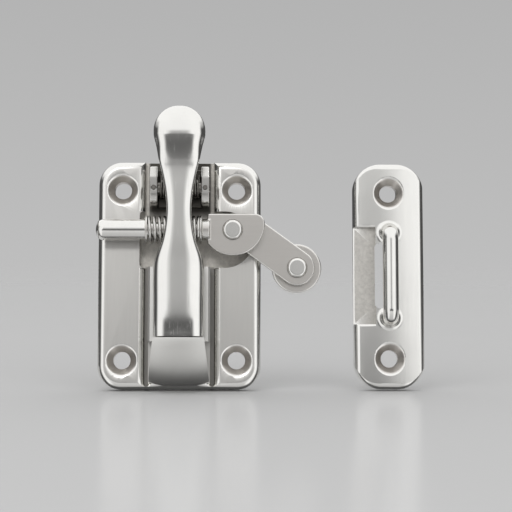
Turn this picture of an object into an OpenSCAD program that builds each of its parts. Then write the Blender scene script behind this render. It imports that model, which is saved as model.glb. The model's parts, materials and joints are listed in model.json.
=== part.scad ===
// Boat window latch and its keeper, in stainless steel.
// A rocking lever carries a spring-held draw bar with a swinging roller arm.
// The back of the base is the plane Y = 0, the front faces -Y, and +Z is up.
// Depths are measured forward from the back of the base.

/* [Base] */
// Width of the base
base_w = 52; // [49:0.5:60]
// Height of the base
base_h = 73; // [71:0.5:80]
// Radius of the base's corners
base_r = 7.5; // [5:0.5:9]
// Depth of the side panels' front
panel_d = 6; // [5.2:0.1:6.2]
// Rounding of the outer front edges
edge_r = 2.6; // [1.6:0.1:2.8]
// Rounding of the panels' inner edges
inner_r = 2.4; // [1.4:0.1:2.5]
// Depth of the pocket's floor
floor_d = 2.2; // [1.6:0.1:2.4]
// Half width of the channel between the panels
channel_x = 11; // [10.8:0.1:11.6]
// Width of each groove beside the saddle
groove_w = 1.2; // [1:0.1:1.6]
// Height of the grooves' lower ends above the base's bottom edge
groove_end = 1.6; // [1.4:0.1:3]
// Depth of the groove's floor
groove_d = 3.4; // [3:0.1:4]
// Depth of the saddle's front, where the lever rests
saddle_d = 9.6; // [8.6:0.1:9.8]
// Depth of the hump's front at the seam
hump_d = 16.8; // [16:0.1:16.9]
// Depth of the hump's front at its foot
hump_foot = 5; // [4:0.1:5.6]
// Radius of the hump's front from side to side
hump_crown = 28; // [20:0.5:30]

/* [Pocket] */
// Reach of the pocket to the left of the middle
pocket_left = 12.8; // [12.4:0.1:14]
// Half height of the pocket, and radius of its right end
pocket_r = 9.1; // [8.9:0.1:9.4]
// Place of the right end's centre
pocket_x = 14.5; // [14.2:0.1:15]
// Height of the pocket's middle
pocket_z = 11.3; // [11.1:0.1:11.5]
// Radius of the pocket's left corners
pocket_corner = 1.2; // [0.6:0.1:2]

/* [Screws] */
// Spacing of the base's holes across
screw_x = 36.5; // [36:0.5:37.5]
// Spacing of the base's holes up
screw_z = 54.6; // [54:0.1:56]
// Diameter of the screw holes
screw_bore = 5.6; // [5.2:0.1:5.8]
// Diameter of the countersinks
sink_d = 10; // [9.4:0.1:10.6]

/* [Hinge] */
// Height of the lever's hinge
hinge_z = 27.2; // [26.9:0.1:27.6]
// Depth of the lever's hinge
hinge_d = 8.5; // [8.4:0.1:9]
// Diameter of the hinge pin
hinge_pin_d = 4; // [3.4:0.1:4.2]
// Half distance between the ears
ear_in = 6.9; // [6.8:0.1:7.2]
// Thickness of an ear
ear_t = 2.5; // [2:0.1:2.7]
// Radius of an ear's lower end
ear_r = 3.7; // [3.4:0.1:3.9]
// Height of an ear below the hinge, to the centre of its lower end
ear_drop = 1.7; // [1.4:0.1:1.9]
// Height of an ear's top above the hinge
ear_top = 7; // [6.4:0.1:7.4]
// Height of the crease on an ear's front above the hinge
ear_crease = 3.4; // [3:0.1:4]
// Thickness of the bracket's foot
foot_t = 1.6; // [1.2:0.1:1.7]
// Diameter of the pins that lock the hinge pin
lock_pin_d = 1.3; // [1:0.1:1.5]
// Diameter of the bracket's rivets
bracket_rivet_d = 3; // [2.4:0.1:3.4]
// Wire of the return springs
return_wire = 0.8; // [0.6:0.05:0.85]
// Height of the return springs' upper ends above the hinge
return_up = 6.5; // [5.5:0.1:7]
// Height of the return springs' lower ends above the hinge
return_down = 5; // [4:0.1:5.5]

/* [Lever] */
// Half width of the lever's lower body
body_half = 8; // [7.6:0.1:8.2]
// Half width of the lever's waist
waist_half = 3.95; // [3.85:0.05:4.2]
// Radius of the lever's ball end
ball_r = 8.2; // [7.8:0.1:8.8]
// Height of the ball's centre
ball_z = 44.9; // [44:0.1:46]
// Depth of the ball's front
ball_front = 18.6; // [18.4:0.1:19.4]
// Depth of the ball's back
ball_back = 10.8; // [10.4:0.1:11.6]
// Depth of the front at the waist
waist_front = 17.6; // [17.4:0.1:18]
// Depth of the back at the waist
waist_back = 14.8; // [14.7:0.1:15]
// Roundness of the front from side to side, where 1 is an ellipse
crown = 0.65; // [0.55:0.05:0.9]
// Depth of the front at the lower body
body_front = 17.5; // [17:0.1:17.8]
// Height of the lever's lower end
lever_end_z = -20.1; // [-20.6:0.1:-19.6]
// Half width of the lug on the hinge
lug_half = 4.4; // [4.2:0.1:4.5]
// Half width of the hub that the bar slides in
hub_half = 2.5; // [2.2:0.1:2.7]
// Wall of the hollow behind the lever's lower body
lever_wall = 2.4; // [2:0.1:3]

/* [Bar] */
// Height of the bar
bar_z = 13.85; // [13.7:0.05:14]
// Depth of the bar's axis
bar_d = 10; // [9.9:0.1:10.2]
// Diameter of the bar's rod
rod_d = 4.8; // [4.4:0.1:5]
// Diameter of the end pin and of the collar
pin_d = 6.8; // [6.4:0.1:7]
// Left end of the end pin
pin_left = -26.4; // [-28:0.1:-26]
// Right end of the end pin
pin_right = -10.6; // [-11.2:0.1:-10.4]
// Length of the rod inside the end pin
pin_depth = 5.4; // [4:0.1:7]
// Radius of the end pin's dome
dome_r = 5; // [4:0.1:6]
// Left end of the collar
collar_x = 7.1; // [7:0.1:7.6]
// Left edge of the tongue
tongue_x = 9; // [8.8:0.1:9.3]
// Thickness of the tongue
tongue_t = 2.6; // [2.2:0.1:2.6]
// Height of the tongue's top edge above the bar's axis
tongue_rise = 5.1; // [4.9:0.1:5.4]
// Radius of the tongue's round end
tongue_r = 10.2; // [9.6:0.1:10.6]
// Height of the round end's centre above the rivet
tongue_lift = 2; // [1.6:0.1:2.4]
// Radius of the tongue's upper right corner
tongue_corner = 3; // [1:0.1:4]
// Outer diameter of the bar's springs
spring_od = 9.2; // [8.8:0.1:9.3]
// Wire of the bar's springs
spring_wire = 1; // [0.8:0.05:1.1]
// Pitch of the bar's springs
spring_pitch = 1.6; // [1.5:0.05:2]
// Thickness of the spring washers
spring_washer_t = 0.5; // [0.4:0.1:0.7]

/* [Arm] */
// Place of the arm's rivet across
rivet_x = 16.9; // [16.7:0.1:17.2]
// Distance from the rivet to the arm's elbow
elbow = 4.4; // [4.2:0.1:5]
// Distance from the elbow to the roller's axle
arm_reach = 20; // [19.8:0.1:24]
// Angle of the arm below level
arm_fall = 36; // [32:1:40]
// Half width of the arm
arm_half = 5.6; // [5:0.1:5.8]
// Thickness of the arm
arm_t = 1.9; // [1.6:0.1:1.9]
// Diameter of the rivet's and the axle's shank
shank_d = 4; // [3.6:0.1:4.2]
// Diameter of their heads
head_d = 6.5; // [6:0.1:7]
// Diameter of the flat on their heads
head_flat = 5.3; // [4:0.1:5.6]
// Height of their heads
head_t = 1.2; // [1:0.1:1.5]
// Diameter of their tails
tail_d = 5.4; // [5:0.1:5.6]
// Height of their tails
tail_t = 0.9; // [0.7:0.1:1]
// Thickness of the washers beside the arm
washer_t = 0.4; // [0.3:0.05:0.45]
// Diameter of the washer between tongue and arm
arm_washer_d = 9; // [8:0.1:10]
// Diameter of the washer under the arm rivet's tail
tail_washer_d = 5.8; // [5.6:0.1:6]

/* [Roller] */
// Diameter of the roller
roller_d = 15.8; // [14:0.1:16]
// Width of the roller
roller_w = 3.7; // [3:0.1:3.8]
// Bevel on the roller's rims
roller_bevel = 0.4; // [0.2:0.05:0.6]
// Outer diameter of the roller's bush
bush_od = 6; // [5.4:0.1:6.6]
// Diameter of the roller's washers
roller_washer_d = 8; // [7:0.1:9]

/* [Keeper] */
// Place of the keeper's middle across
keeper_x = 67.3; // [66:0.1:72]
// Width of the keeper
keeper_w = 22.7; // [22:0.1:25]
// Height of the keeper
keeper_h = 72.8; // [70:0.1:80]
// Radius of the keeper's corners
keeper_r = 8.8; // [6:0.1:9.2]
// Thickness of the keeper
keeper_t = 5; // [4.6:0.1:5.2]
// Radius of the keeper's front from side to side
keeper_crown = 80; // [60:1:200]
// Rounding of the keeper's front edges
keeper_edge = 2.4; // [1.6:0.1:2.6]
// Spacing of the keeper's holes
keeper_screw_z = 53.4; // [52.4:0.1:56]
// Diameter of the bail
bail_d = 5.1; // [4.6:0.1:5.2]
// Depth of the bail's axis
bail_axis = 9.2; // [9.1:0.1:10]
// Height of the bail, end to end
bail_h = 32.6; // [32.4:0.1:33.4]
// Radius of the bail's bends, on the wire's axis
bail_bend = 2.7; // [2.6:0.1:2.7]
// Depth of the notch's floor
notch_d = 1.8; // [1.4:0.1:2]
// Distance from the keeper's left edge to the notch's right wall
notch_w = 7; // [6.4:0.1:7]
// Half height of the notch
notch_half = 15.7; // [15:0.1:15.8]
// Width of the slot behind the bail
slot_w = 3.3; // [3:0.1:3.6]
// Half height of the slot behind the bail
slot_half = 10.6; // [10.5:0.1:10.8]
// Radius of the fillet at the bail's feet
foot_fillet = 1.8; // [1:0.1:1.8]

/* [Hidden] */
$fn = 64;
// Clearances: fixed fit, running fit, running face, and moving pieces that only pass
fix = 0.02;
run = 0.04;
face = 0.1;
pass = 0.35;
// Overshoot of cuts
over = 1;

steel = [0.72, 0.72, 0.71];
polished = [0.82, 0.82, 0.83];
spring_steel = [0.6, 0.61, 0.63];
bearing = [0.78, 0.74, 0.62];

slot_top = pocket_z + pocket_r;
saddle_half = channel_x - groove_w;
saddle_top = pocket_z - pocket_r;
seam_z = lever_end_z - pass;
ear_front = hinge_d + ear_r;
lever_back = saddle_d + 0.3;
spring_r = (spring_od - spring_wire) / 2;
tongue_back = bar_d - tongue_t / 2;
tongue_front = bar_d + tongue_t / 2;
arm_front = tongue_back - washer_t - face;
arm_back = arm_front - arm_t;
roller_front = arm_back - washer_t - face;
roller_back = roller_front - roller_w;
elbow_x = rivet_x + elbow;
axle_x = elbow_x + arm_reach * cos(arm_fall);
axle_z = bar_z - arm_reach * sin(arm_fall);
keeper_left = keeper_x - keeper_w / 2;
notch_right = keeper_left + notch_w;
leg_z = (bail_h - bail_d) / 2;
waist_mid = (waist_front + waist_back) / 2;

// Shared shapes

// Extrudes a front outline, drawn in X and Z, from one depth to another
module slab(from, to) {
    translate([0, -from, 0]) rotate([90, 0, 0]) linear_extrude(height = to - from) children();
}

// A round bar along X at a height and depth
module bar_x(from, to, r, z, d) {
    translate([from, -d, z]) rotate([0, 90, 0]) cylinder(r = r, h = to - from);
}

// A round bar along the depth at a place on the front
module post(from, to, r, x, z) {
    translate([x, -from, z]) rotate([90, 0, 0]) cylinder(r = r, h = to - from);
}

// A side profile, drawn in depth and Z, extruded across the middle
module across(from, to) {
    translate([from, 0, 0]) rotate([90, 0, 90]) linear_extrude(height = to - from) mirror([1, 0]) children();
}

module round_rect(w, h, r) {
    union() {
        square([w - 2 * r, h], center = true);
        square([w, h - 2 * r], center = true);
        for (x = [-1, 1], z = [-1, 1]) {
            translate([x * (w / 2 - r), z * (h / 2 - r)]) circle(r = r);
        }
    }
}

// Half of a plate's edge section, with its front corner rounded
module edge_profile(reach, t, e) {
    union() {
        square([reach, t - e]);
        square([reach - e, t]);
        translate([reach - e, t - e]) circle(r = e);
    }
}

// A plate with round corners and a rounded front edge
module soft_plate(w, h, r, t, e) {
    cx = w / 2 - r;
    cz = h / 2 - r;
    union() {
        for (x = [-1, 1], z = [-1, 1]) {
            translate([x * cx, 0, z * cz]) rotate([90, 0, 0])
                rotate_extrude() intersection() {
                    edge_profile(r, t, e);
                    square([r, t]);
                }
        }
        translate([-cx, 0, 0]) rotate([0, 90, 0]) linear_extrude(height = 2 * cx) plate_section(h, t, e);
        translate([0, 0, -cz]) linear_extrude(height = 2 * cz) plate_section(w, t, e);
    }
}

// Full section of such a plate: width across, front towards minus
module plate_section(w, t, e) {
    mirror([0, 1]) union() {
        translate([-w / 2, 0]) square([w, t - e]);
        translate([-w / 2 + e, 0]) square([w - 2 * e, t]);
        for (s = [-1, 1]) {
            translate([s * (w / 2 - e), t - e]) circle(r = e);
        }
    }
}

// A countersunk screw hole in a front face at a depth
module screw_hole(x, z, d) {
    sink = (sink_d - screw_bore) / 2;
    post(-over, d + over, screw_bore / 2, x, z);
    translate([x, -d - over, z]) rotate([-90, 0, 0])
        cylinder(r1 = sink_d / 2 + over, r2 = screw_bore / 2, h = sink + over);
}

// A rivet along the depth: bevelled head in front, flat tail behind
module rivet(x, z, back, front) {
    translate([x, -back, z]) rotate([90, 0, 0]) rotate_extrude() union() {
        translate([0, -tail_t]) square([tail_d / 2, tail_t]);
        square([shank_d / 2, front - back]);
        translate([0, front - back]) polygon([[0, 0], [head_d / 2, 0], [head_d / 2, head_t / 3],
            [head_flat / 2, head_t], [0, head_t]]);
    }
}

module washer_d(from, to, od, bore, x, z) {
    difference() {
        post(from, to, od / 2, x, z);
        post(from - over, to + over, bore / 2, x, z);
    }
}

// Sweeps a round wire along points, for coils about an axis along X
module wire(path, d, sides = 10) {
    n = len(path);
    rings = [for (i = [0:n - 1])
        let (a = path[max(i - 1, 0)], b = path[min(i + 1, n - 1)], t = (b - a) / norm(b - a),
            u = cross(t, [1, 0, 0]), e2 = u / norm(u), e1 = cross(e2, t))
        for (k = [0:sides - 1]) path[i] + d / 2 * (cos(360 * k / sides) * e1 + sin(360 * k / sides) * e2)];
    walls = [for (i = [0:n - 2], k = [0:sides - 1])
        let (m = (k + 1) % sides)
        for (tri = [[0, 1], [1, 0]])
        tri[0] == 0 ? [i * sides + k, i * sides + m, (i + 1) * sides + m]
            : [i * sides + k, (i + 1) * sides + m, (i + 1) * sides + k]];
    first = [for (k = [0:sides - 1]) sides - 1 - k];
    last = [for (k = [0:sides - 1]) (n - 1) * sides + k];
    polyhedron(points = rings, faces = concat([first], walls, [last]));
}

// Points of a compression spring along X, with the ends closed
function spring_path(from, to) =
    let (dead = 0.3, run_x = to - from - spring_wire,
        turns = max(2, round(run_x / spring_pitch * 2) / 2) + 2 * dead, steps = ceil(turns * 20))
    [for (i = [0:steps])
        let (t = turns * i / steps, s = min(max((t - dead) / (turns - 2 * dead), 0), 1))
        [from + spring_wire / 2 + run_x * s, spring_r * cos(360 * t) - bar_d,
            spring_r * sin(360 * t) + bar_z]];

// Base

module base_plate() {
    color(steel) difference() {
        union() {
            difference() {
                soft_plate(base_w, base_h, base_r, panel_d, edge_r);
                slab(floor_d, panel_d + over) pocket_outline();
                slab(groove_d, panel_d + over) groove_outline();
                for (s = [-1, 1]) panel_edge(s);
            }
            saddle();
            hump();
        }
        for (x = [-1, 1], z = [-1, 1]) screw_hole(x * screw_x / 2, z * screw_z / 2, panel_d);
        for (x = [-1, 1]) bracket_rivet_hole(x);
    }
}

// The pocket with its round right end, and the slot above it
module pocket_outline() {
    union() {
        translate([-pocket_left, saddle_top])
            left_round([pocket_left + pocket_x, 2 * pocket_r], pocket_corner);
        translate([pocket_x, pocket_z]) circle(r = pocket_r);
        translate([-channel_x, slot_top - over]) square([2 * channel_x, base_h]);
    }
}

// A rectangle whose left corners are round
module left_round(size, r) {
    union() {
        translate([r, 0]) square([size[0] - r, size[1]]);
        translate([0, r]) square([r + over, size[1] - 2 * r]);
        for (z = [r, size[1] - r]) translate([r, z]) circle(r = r);
    }
}

// The two grooves between the panels and the saddle, with round lower ends
module groove_outline() {
    low = -base_h / 2 + groove_end + groove_w / 2;
    for (s = [-1, 1]) translate([s * (channel_x - groove_w / 2), 0]) union() {
        translate([-groove_w / 2, low]) square([groove_w, saddle_top + over - low]);
        translate([0, low]) circle(r = groove_w / 2);
    }
}

// Rounds the panels' inner edges along the channel and about the groove's lower end
module panel_edge(s) {
    low = -base_h / 2 + groove_end + groove_w / 2;
    for (run_z = [[low, saddle_top], [slot_top, base_h / 2 + over]])
        translate([s * channel_x, -panel_d, run_z[0]]) linear_extrude(height = run_z[1] - run_z[0])
            mirror([s > 0 ? 0 : 1, 0]) corner_cut(inner_r);
    translate([s * (channel_x - groove_w / 2), -panel_d, low]) rotate([-90, 0, 0])
        rotate_extrude(angle = 180) translate([groove_w / 2, 0]) corner_cut(inner_r);
}

// What a rounding takes off a corner that points to the left and towards minus
module corner_cut(r) {
    difference() {
        translate([-groove_w / 4, -over]) square([r + groove_w / 4, r + over]);
        translate([r, r]) circle(r = r);
    }
}

// The raised block behind the lever's lower body
module saddle() {
    soft = groove_w / 2;
    translate([0, 0, seam_z - over]) linear_extrude(height = saddle_top - seam_z + over)
        mirror([0, 1]) polygon([[-saddle_half, over], [saddle_half, over], [saddle_half, saddle_d - soft],
            [saddle_half - soft, saddle_d], [soft - saddle_half, saddle_d], [-saddle_half, saddle_d - soft]]);
}

// The convex hump under the lever's lower end, upright at the seam and curved back to its foot
module hump() {
    foot_z = -base_h / 2 + groove_end / 2;
    seam_half = body_half + fix;
    fall = seam_z - foot_z;
    drop = hump_d - hump_foot;
    hump_r = (fall * fall + drop * drop) / (2 * drop);
    intersection() {
        slab(over, hump_d + over) polygon([[-seam_half, seam_z], [seam_half, seam_z],
            [saddle_half, foot_z], [-saddle_half, foot_z]]);
        translate([0, hump_crown - hump_d, 0]) rotate_extrude() intersection() {
            union() {
                translate([0, foot_z - over]) square([hump_crown - hump_r, fall + 2 * over]);
                translate([hump_crown - hump_r, seam_z]) circle(r = hump_r);
            }
            translate([0, foot_z - over]) square([hump_crown, fall + 2 * over]);
        }
    }
}

// Hinge

module ear_outline() {
    low = hinge_z - ear_drop;
    union() {
        translate([hinge_d, low]) circle(r = ear_r);
        polygon([[floor_d + fix, low - ear_r], [hinge_d, low - ear_r], [ear_front, low],
            [ear_front, hinge_z + ear_crease], [ear_front - 2, hinge_z + ear_top],
            [floor_d + fix, hinge_z + ear_top]]);
    }
}

module hinge_bracket() {
    low = hinge_z - ear_drop - ear_r;
    color(steel) difference() {
        union() {
            for (s = [-1, 1]) across(s > 0 ? ear_in : -ear_in - ear_t, s > 0 ? ear_in + ear_t : -ear_in)
                ear_outline();
            slab(floor_d + fix, floor_d + fix + foot_t)
                translate([-ear_in - ear_t / 2, low]) square([2 * ear_in + ear_t, hinge_z + ear_top - low]);
        }
        bar_x(-base_w, base_w, hinge_pin_d / 2 + fix, hinge_z, hinge_d);
        for (s = [-1, 1]) {
            lock_pin(s, lock_pin_d / 2 + fix, over);
            bracket_rivet_hole(s);
        }
    }
}

module bracket_rivet_hole(s) {
    post(-over, floor_d + foot_t + over, bracket_rivet_d / 2 + fix, s * bracket_rivet_x(), hinge_z);
}

function bracket_rivet_x() = ear_in / 2;

module bracket_rivets() {
    front = floor_d + foot_t + 2 * fix;
    color(steel) for (s = [-1, 1]) translate([s * bracket_rivet_x(), 0, hinge_z]) rotate([90, 0, 0])
        rotate_extrude() union() {
            square([bracket_rivet_d / 2, front]);
            translate([0, front]) square([bracket_rivet_d * 0.8, 0.4]);
        }
}

module lock_pin(s, r, proud) {
    post(hinge_d - hinge_pin_d / 2 + 0.5, ear_front + proud, r, s * (ear_in + ear_t / 2), hinge_z);
}

module hinge_lock_pins() {
    color(polished) for (s = [-1, 1]) lock_pin(s, lock_pin_d / 2, 0.1);
}

module hinge_pin() {
    color(polished) difference() {
        bar_x(-ear_in - ear_t, ear_in + ear_t, hinge_pin_d / 2, hinge_z, hinge_d);
        for (s = [-1, 1]) lock_pin(s, lock_pin_d / 2 + fix, 0);
    }
}

// Two coils on the pin beside the lug: one leg lies on the bracket's foot, one behind the lever's neck
function return_path(s) =
    let (r = hinge_pin_d / 2 + return_wire / 2 + 2 * face, turns = 1.5, steps = 30,
        near = lug_half + face + return_wire / 2, far = near + turns * (return_wire + 2 * run))
    concat(
        [[s * near, pass + return_wire / 2 - waist_back, hinge_z + return_up]],
        [for (i = [0:steps])
            let (t = i / steps)
            [s * (near + (far - near) * t), -hinge_d - r * cos(360 * turns * t),
                hinge_z - r * sin(360 * turns * t)]],
        [[s * far, -floor_d - foot_t - return_wire / 2 - fix, hinge_z + return_down]]);

module return_springs() {
    color(spring_steel) for (s = [-1, 1]) mirror([s > 0 ? 0 : 1, 0, 0]) wire(return_path(1), return_wire);
}

// Lever

// Stations along the lever: height, half width, front depth, back depth, squareness of the back
lever_stations = [
    [lever_end_z, body_half - 0.15, hump_d + 0.1, lever_back + 0.4, 0.5],
    [lever_end_z + 0.8, body_half - 0.05, hump_d + 0.2, lever_back, 0.5],
    [lever_end_z + 2.6, body_half, body_front - 0.28, lever_back, 0.5],
    [lever_end_z + 5.2, body_half, body_front - 0.07, lever_back, 0.5],
    [saddle_top - 12, body_half, body_front, lever_back, 0.5],
    [saddle_top - 1, body_half, body_front, lever_back + 0.2, 0.5],
    [bar_z - 9.3, body_half - 0.6, body_front, lever_back + 1.5, 0.55],
    [bar_z - 3.9, waist_half + 1.3, waist_front, waist_back - 0.8, 0.6],
    [bar_z + 1.5, waist_half + 0.25, waist_front, waist_back, 0.65],
    [(bar_z + hinge_z) / 2, waist_half, waist_front, waist_back, 0.7],
    [hinge_z - 0.9, waist_half + 0.6, waist_front, waist_back - 0.2, 0.7],
    [hinge_z + 4.5, waist_half + 1.6, waist_front, waist_back, 0.75],
    [hinge_z + 8, waist_half + 2.45, waist_front + 0.22, waist_back, 0.8],
    [ball_z - ball_r * 0.6, ball_r - 0.9, ball_front - 0.4, ball_back + 0.9, 0.9],
    [ball_z - ball_r * 0.15, ball_r, ball_front - 0.1, ball_back, 1],
    [ball_z, ball_r, ball_front, ball_back, 1]];

// Smooth curve through one column of the stations at a height
function station_at(z, c) =
    let (last = len(lever_stations) - 1,
        i = min(max([for (k = [0:last]) if (lever_stations[k][0] <= z + 0.0001) k]), last - 1),
        p0 = lever_stations[max(i - 1, 0)], p1 = lever_stations[i], p2 = lever_stations[i + 1],
        p3 = lever_stations[min(i + 2, last)], h = p2[0] - p1[0], t = (z - p1[0]) / h,
        m1 = (p2[c] - p0[c]) / (p2[0] - p0[0]) * h, m2 = (p3[c] - p1[c]) / (p3[0] - p1[0]) * h)
    (2 * t * t * t - 3 * t * t + 1) * p1[c] + (t * t * t - 2 * t * t + t) * m1
        + (3 * t * t - 2 * t * t * t) * p2[c] + (t * t * t - t * t) * m2;

// One ring of the lever: height, half width, front, back, squareness of the back
function lever_ring(z, w, f, b, q, sides) =
    let (mid = b + (f - b) * 0.4)
    [for (k = [0:sides - 1])
        let (a = 360 * k / sides, c = cos(a), s = sin(a), depth = s > 0 ? f - mid : mid - b,
            e = s > 0 ? crown : q)
        [w * sign(c) * pow(abs(c), e), -mid - depth * sign(s) * pow(abs(s), e), z]];

module lever_form(sides = 44) {
    low_n = 48;
    top_n = 10;
    low = [for (i = [0:low_n])
        let (z = lever_end_z + (ball_z - lever_end_z) * (i < 3 ? i * 0.4 : i - 1.8) / (low_n - 1.8))
        lever_ring(z, station_at(z, 1), station_at(z, 2), station_at(z, 3), station_at(z, 4), sides)];
    core = (ball_front + ball_back * 1.5) / 2.5;
    top = [for (i = [1:top_n])
        let (a = 86 * i / top_n)
        lever_ring(ball_z + ball_r * sin(a), ball_r * cos(a), core + (ball_front - core) * cos(a),
            core + (ball_back - core) * cos(a), 1, sides)];
    rings = concat(low, top);
    n = len(rings);
    points = [for (ring = rings, p = ring) p];
    walls = [for (i = [0:n - 2], k = [0:sides - 1])
        let (m = (k + 1) % sides)
        for (tri = [0, 1])
        tri == 0 ? [i * sides + k, i * sides + m, (i + 1) * sides + m]
            : [i * sides + k, (i + 1) * sides + m, (i + 1) * sides + k]];
    bottom = [for (k = [0:sides - 1]) sides - 1 - k];
    cap = [for (k = [0:sides - 1]) (n - 1) * sides + k];
    polyhedron(points = points, faces = concat([bottom], walls, [cap]));
}

module lever() {
    hub_r = spring_od / 2;
    lug_r = ear_r + 0.1;
    color(polished) difference() {
        union() {
            difference() {
                lever_form();
                lever_hollow();
                for (s = [-1, 1]) bar_x(s > 0 ? hub_half : -base_w, s > 0 ? base_w : -hub_half,
                    spring_od / 2 + pass, bar_z, bar_d);
            }
            bar_x(-hub_half, hub_half, hub_r, bar_z, bar_d);
            translate([-hub_half, -waist_mid, bar_z - hub_r / 2])
                cube([2 * hub_half, waist_mid - bar_d, hub_r]);
            bar_x(-lug_half, lug_half, lug_r, hinge_z, hinge_d);
            translate([-waist_half + 0.6, -waist_mid, hinge_z - lug_r * 0.8])
                cube([2 * waist_half - 1.2, waist_mid - hinge_d, lug_r * 1.6]);
        }
        bar_x(-base_w, base_w, rod_d / 2 + run, bar_z, bar_d);
        bar_x(-base_w, base_w, hinge_pin_d / 2 + run, hinge_z, hinge_d);
    }
}

// The hollow in the back of the lever's lower body
module lever_hollow() {
    low = lever_end_z + 2 * lever_wall;
    high = saddle_top - lever_wall;
    slab(saddle_d, body_front - 1.5 * lever_wall) translate([0, (low + high) / 2])
        round_rect(2 * (body_half - lever_wall), high - low, lever_wall);
}

// Draw bar

// Round about the rivet, cut level at the top and upright at the collar
module tongue_outline() {
    top = bar_z + tongue_rise;
    right = rivet_x + tongue_r;
    intersection() {
        translate([rivet_x, bar_z + tongue_lift]) circle(r = tongue_r);
        union() {
            translate([tongue_x, 0]) square([right - tongue_corner - tongue_x, top]);
            translate([tongue_x, 0]) square([right - tongue_x, top - tongue_corner]);
            translate([right - tongue_corner, top - tongue_corner]) circle(r = tongue_corner);
        }
    }
}

module draw_bar() {
    color(steel) difference() {
        union() {
            bar_x(pin_right - pin_depth, tongue_x, rod_d / 2, bar_z, bar_d);
            bar_x(collar_x, tongue_x + tongue_t / 4, pin_d / 2, bar_z, bar_d);
            slab(tongue_back, tongue_front) tongue_outline();
        }
        post(0, tongue_front + over, shank_d / 2 + fix, rivet_x, bar_z);
    }
}

module end_pin() {
    color(polished) difference() {
        translate([pin_right, -bar_d, bar_z]) rotate([0, -90, 0]) rotate_extrude() intersection() {
            square([pin_d / 2, pin_right - pin_left]);
            union() {
                square([pin_d, pin_right - pin_left - dome_r]);
                translate([0, pin_right - pin_left - dome_r]) circle(r = dome_r);
            }
        }
        bar_x(pin_right - pin_depth - face, pin_right + over, rod_d / 2 + fix, bar_z, bar_d);
    }
}

module spring_washers() {
    color(steel) for (x = [pin_right + fix, collar_x - spring_washer_t - fix]) difference() {
        bar_x(x, x + spring_washer_t, spring_od / 2, bar_z, bar_d);
        bar_x(x - over, x + spring_washer_t + over, rod_d / 2 + fix, bar_z, bar_d);
    }
}

module left_spring() {
    color(spring_steel)
        wire(spring_path(pin_right + spring_washer_t + 2 * fix, -hub_half - fix), spring_wire);
}

module right_spring() {
    color(spring_steel) wire(spring_path(hub_half + fix, collar_x - spring_washer_t - 2 * fix), spring_wire);
}

module arm_rivet() {
    color(polished) rivet(rivet_x, bar_z, arm_back - face - washer_t - fix, tongue_front + fix);
}

module arm_washer() {
    color(bearing) washer_d(arm_front + face, tongue_back - fix, arm_washer_d, shank_d + 2 * fix,
        rivet_x, bar_z);
}

module arm_tail_washer() {
    color(steel) washer_d(arm_back - face - washer_t, arm_back - face, tail_washer_d, shank_d + 2 * fix,
        rivet_x, bar_z);
}

// Arm and roller

module arm_outline() {
    for (p = [[rivet_x, bar_z], [elbow_x, bar_z], [axle_x, axle_z]]) translate(p) circle(r = arm_half);
    translate([rivet_x, bar_z - arm_half]) square([elbow, 2 * arm_half]);
    translate([elbow_x, bar_z]) rotate(-arm_fall) translate([0, -arm_half]) square([arm_reach, 2 * arm_half]);
}

module arm() {
    color(steel) difference() {
        slab(arm_back, arm_front) union() arm_outline();
        post(0, tongue_front, shank_d / 2 + run, rivet_x, bar_z);
        post(0, tongue_front, shank_d / 2 + fix, axle_x, axle_z);
    }
}

module roller_axle() {
    color(polished) rivet(axle_x, axle_z, roller_back - face - washer_t - fix, arm_front + fix);
}

module roller_washers() {
    color(bearing) for (back = [roller_front + face - fix, roller_back - face - washer_t])
        washer_d(back, back + washer_t, roller_washer_d, shank_d + 2 * fix, axle_x, axle_z);
}

module roller() {
    r = roller_d / 2;
    color(steel) translate([axle_x, -roller_back, axle_z]) rotate([90, 0, 0]) rotate_extrude()
        polygon([[bush_od / 2, 0], [r - roller_bevel, 0], [r, roller_bevel], [r, roller_w - roller_bevel],
            [r - roller_bevel, roller_w], [bush_od / 2, roller_w]]);
}

module roller_bush() {
    color(bearing) washer_d(roller_back, roller_front, bush_od - 2 * fix, shank_d + 2 * run, axle_x, axle_z);
}

// Keeper

module keeper_plate() {
    color(polished) translate([keeper_x, 0, 0]) difference() {
        union() {
            intersection() {
                soft_plate(keeper_w, keeper_h, keeper_r, keeper_t, keeper_edge);
                translate([0, 0, -keeper_h]) linear_extrude(height = 2 * keeper_h) keeper_section();
            }
            for (s = [-1, 1]) bail_foot(s * leg_z);
        }
        slab(notch_d, keeper_t + over) notch_outline();
        slab(-over, keeper_t + over) slot_outline();
        for (s = [-1, 1]) {
            screw_hole(0, s * keeper_screw_z / 2, keeper_t);
            post(notch_d, 2 * keeper_t, bail_d / 2 + fix, 0, s * leg_z);
        }
    }
}

// Section across the keeper: a crowned front that runs into the rounded edges
module keeper_section() {
    reach = keeper_w / 2 - keeper_edge;
    inner = keeper_crown - keeper_edge;
    centre = keeper_t - keeper_crown + sqrt(inner * inner - reach * reach);
    lean = 2 * keeper_edge * [reach, keeper_crown - keeper_t + centre] / inner;
    mirror([0, 1]) union() {
        translate([-keeper_w / 2, 0]) square([keeper_w, centre]);
        intersection() {
            translate([0, keeper_t - keeper_crown]) circle(r = keeper_crown, $fn = 360);
            polygon([[-reach, 0], [reach, 0], [reach, centre], [reach, centre] + lean,
                [-reach - lean[0], centre + lean[1]], [-reach, centre]]);
        }
        for (s = [-1, 1]) translate([s * reach, centre]) circle(r = keeper_edge);
    }
}

// The fillet round a leg of the bail, turned about the leg
module bail_foot(z) {
    r = bail_d / 2;
    translate([0, -keeper_t + over, z]) rotate([90, 0, 0]) rotate_extrude() difference() {
        square([r + foot_fillet, foot_fillet + over]);
        translate([r + foot_fillet, foot_fillet + over]) circle(r = foot_fillet);
    }
}

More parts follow.
